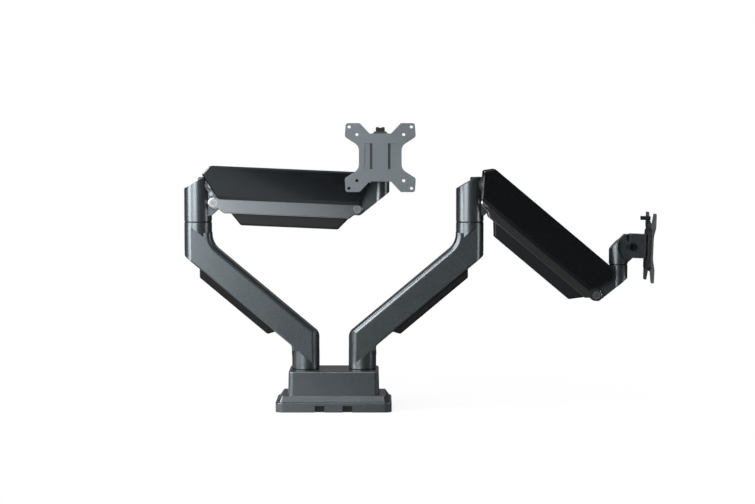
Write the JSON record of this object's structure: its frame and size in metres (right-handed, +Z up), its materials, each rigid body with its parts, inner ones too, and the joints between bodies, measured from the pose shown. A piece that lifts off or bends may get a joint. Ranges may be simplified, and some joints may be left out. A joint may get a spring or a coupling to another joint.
{
  "type": "monitor arm",
  "caption": "Desk stand with a cast base carrying two sprung parallelogram arms, each ending in a swivelling, tilting and turning screen plate.",
  "frame": {"origin": "on the desk under the middle of the base", "axes": "+Z up, -Y to the front of the desk, +X along the row of the two arms"},
  "size_m": [0.7631, 0.1197, 0.4669],
  "materials": {
    "gunmetal_casting": "die-cast aluminium with a satin gunmetal metallic paint",
    "slate_sheet": "pressed steel sheet, slate powder coat",
    "grey_rail": "aluminium channel, light grey metallic paint",
    "gloss_cover": "piano black moulded ABS",
    "black_plastic": "moulded black plastic",
    "pad_rubber": "die-cut rubber",
    "black_steel": "black oxide steel",
    "pressed_steel": "pressed steel, dark paint",
    "bright_rod": "ground and chromed rod",
    "bright_steel": "zinc plated steel"
  },
  "bodies": {
    "base": {"base_casting": "gunmetal_casting", "base_bottom_plate": "bright_steel", "desk_pads": "pad_rubber", "base_plate_screws": "bright_steel", "clamp_slot_plugs": "black_plastic", "base_spindles": "bright_steel"},
    "left_lower": {"left_lower_arm": "gunmetal_casting", "left_lower_cable_cover": "black_plastic", "left_swivel_screw": "black_steel", "left_base_bush": "black_plastic", "left_elbow_spindle": "bright_steel"},
    "left_knuckle": {"left_knuckle": "gunmetal_casting", "left_elbow_bush": "black_plastic", "left_spring_anchor_pin": "bright_steel"},
    "left_upper": {"left_upper_link": "pressed_steel", "left_upper_link_pins": "bright_steel", "left_upper_arm_cover": "gloss_cover", "left_gas_spring_cylinder": "black_steel"},
    "left_rod": {"left_gas_spring_rod": "bright_rod"},
    "left_rail": {"left_lower_link": "grey_rail", "left_link_cable_cover": "black_plastic", "left_lower_link_bolts": "bright_steel"},
    "left_bracket": {"left_front_bracket": "gunmetal_casting", "left_wrist_spindle": "bright_steel"},
    "left_head": {"left_swivel_head": "gunmetal_casting", "left_wrist_bush": "black_plastic"},
    "left_tilt": {"left_tilt_bracket": "gunmetal_casting", "left_tilt_bolt": "black_steel", "left_tilt_washers": "black_plastic"},
    "left_screen": {"left_adapter_plate": "slate_sheet", "left_turn_bolt": "black_steel", "left_screen_plate": "slate_sheet"},
    "left_latch": {"left_release_latch": "black_plastic"},
    "right_lower": {"right_lower_arm": "gunmetal_casting", "right_lower_cable_cover": "black_plastic", "right_swivel_screw": "black_steel", "right_base_bush": "black_plastic", "right_elbow_spindle": "bright_steel"},
    "right_knuckle": {"right_knuckle": "gunmetal_casting", "right_elbow_bush": "black_plastic", "right_spring_anchor_pin": "bright_steel"},
    "right_upper": {"right_upper_link": "pressed_steel", "right_upper_link_pins": "bright_steel", "right_upper_arm_cover": "gloss_cover", "right_gas_spring_cylinder": "black_steel"},
    "right_rod": {"right_gas_spring_rod": "bright_rod"},
    "right_rail": {"right_lower_link": "grey_rail", "right_link_cable_cover": "black_plastic", "right_lower_link_bolts": "bright_steel"},
    "right_bracket": {"right_front_bracket": "gunmetal_casting", "right_wrist_spindle": "bright_steel"},
    "right_head": {"right_swivel_head": "gunmetal_casting", "right_wrist_bush": "black_plastic"},
    "right_tilt": {"right_tilt_bracket": "gunmetal_casting", "right_tilt_bolt": "black_steel", "right_tilt_washers": "black_plastic"},
    "right_screen": {"right_adapter_plate": "slate_sheet", "right_turn_bolt": "black_steel", "right_screen_plate": "slate_sheet"},
    "right_latch": {"right_release_latch": "black_plastic"}
  },
  "joints": [
    {"name": "left_base_swivel", "type": "hinge", "parent": "base", "child": "left_lower", "pos_m": [-0.0463, 0, 0.066], "axis": [0, 0, 1], "range_deg": [-90, 90]},
    {"name": "left_elbow_swivel", "type": "hinge", "parent": "left_lower", "child": "left_knuckle", "pos_m": [-0.22165, 0, 0.306], "axis": [0, 0, 1], "range_deg": [-90, 90]},
    {"name": "left_lift", "type": "hinge", "parent": "left_knuckle", "child": "left_upper", "pos_m": [-0.19815, 0, 0.3675], "axis": [0, -1, 0], "range_deg": [-40, 32.5]},
    {"name": "left_lower_link_pivot", "type": "hinge", "parent": "left_knuckle", "child": "left_rail", "pos_m": [-0.19465, 0, 0.3375], "axis": [0, -1, 0], "range_deg": [-41, 33.5]},
    {"name": "left_bracket_pivot", "type": "hinge", "parent": "left_upper", "child": "left_bracket", "pos_m": [0.03463, 0, 0.35734], "axis": [0, -1, 0], "range_deg": [-33.5, 41]},
    {"name": "left_spring_rod_slide", "type": "slide", "parent": "left_upper", "child": "left_rod", "axis": [-0.9994, 0, -0.0351], "range_m": [-0.0111, 0.00921]},
    {"name": "left_wrist_swivel", "type": "hinge", "parent": "left_bracket", "child": "left_head", "pos_m": [0.07543, 0, 0.37584], "axis": [0, 0, 1], "range_deg": [0, 180]},
    {"name": "left_tilt", "type": "hinge", "parent": "left_head", "child": "left_tilt", "pos_m": [0.07543, -0.0206, 0.40584], "axis": [-1, 0, 0], "range_deg": [-29, 24]},
    {"name": "left_screen_turn", "type": "hinge", "parent": "left_tilt", "child": "left_screen", "pos_m": [0.07543, -0.05201, 0.41194], "axis": [0, -0.9816, 0.1908], "range_deg": [-90, 90]},
    {"name": "left_latch_slide", "type": "slide", "parent": "left_screen", "child": "left_latch", "axis": [0, 0.1908, 0.9816], "range_m": [0, 0.004], "stiffness_N_per_m": 600, "springref_m": -0.002},
    {"name": "right_base_swivel", "type": "hinge", "parent": "base", "child": "right_lower", "pos_m": [0.0463, 0, 0.066], "axis": [0, 0, 1], "range_deg": [-90, 90]},
    {"name": "right_elbow_swivel", "type": "hinge", "parent": "right_lower", "child": "right_knuckle", "pos_m": [0.22165, 0, 0.306], "axis": [0, 0, 1], "range_deg": [-90, 90]},
    {"name": "right_lift", "type": "hinge", "parent": "right_knuckle", "child": "right_upper", "pos_m": [0.24515, 0, 0.3675], "axis": [0, -1, 0], "range_deg": [-2.5, 70]},
    {"name": "right_lower_link_pivot", "type": "hinge", "parent": "right_knuckle", "child": "right_rail", "pos_m": [0.24865, 0, 0.3375], "axis": [0, -1, 0], "range_deg": [-3.5, 71]},
    {"name": "right_bracket_pivot", "type": "hinge", "parent": "right_upper", "child": "right_bracket", "pos_m": [0.42364, 0, 0.21773], "axis": [0, -1, 0], "range_deg": [-71, 3.5]},
    {"name": "right_spring_rod_slide", "type": "slide", "parent": "right_upper", "child": "right_rod", "axis": [-0.8142, 0, 0.5806], "range_m": [-0.00163, 0.01857]},
    {"name": "right_wrist_swivel", "type": "hinge", "parent": "right_bracket", "child": "right_head", "pos_m": [0.46444, 0, 0.23623], "axis": [0, 0, 1], "range_deg": [-90, 90]},
    {"name": "right_tilt", "type": "hinge", "parent": "right_head", "child": "right_tilt", "pos_m": [0.48504, 0, 0.26623], "axis": [0, -1, 0], "range_deg": [-16, 37]},
    {"name": "right_screen_turn", "type": "hinge", "parent": "right_tilt", "child": "right_screen", "pos_m": [0.51702, 0, 0.26511], "axis": [0.9994, 0, -0.0349], "range_deg": [-90, 90]},
    {"name": "right_latch_slide", "type": "slide", "parent": "right_screen", "child": "right_latch", "axis": [0.0349, 0, 0.9994], "range_m": [0, 0.004], "stiffness_N_per_m": 600, "springref_m": -0.002}
  ],
  "couplings": [
    {"joint": "left_lower_link_pivot", "follows": "left_lift", "ratio": 1},
    {"joint": "left_bracket_pivot", "follows": "left_lift", "ratio": -1},
    {"joint": "left_spring_rod_slide", "follows": "left_lift", "m_per_rad": 0.014466},
    {"joint": "right_lower_link_pivot", "follows": "right_lift", "ratio": 1},
    {"joint": "right_bracket_pivot", "follows": "right_lift", "ratio": -1},
    {"joint": "right_spring_rod_slide", "follows": "right_lift", "m_per_rad": 0.014377}
  ]
}
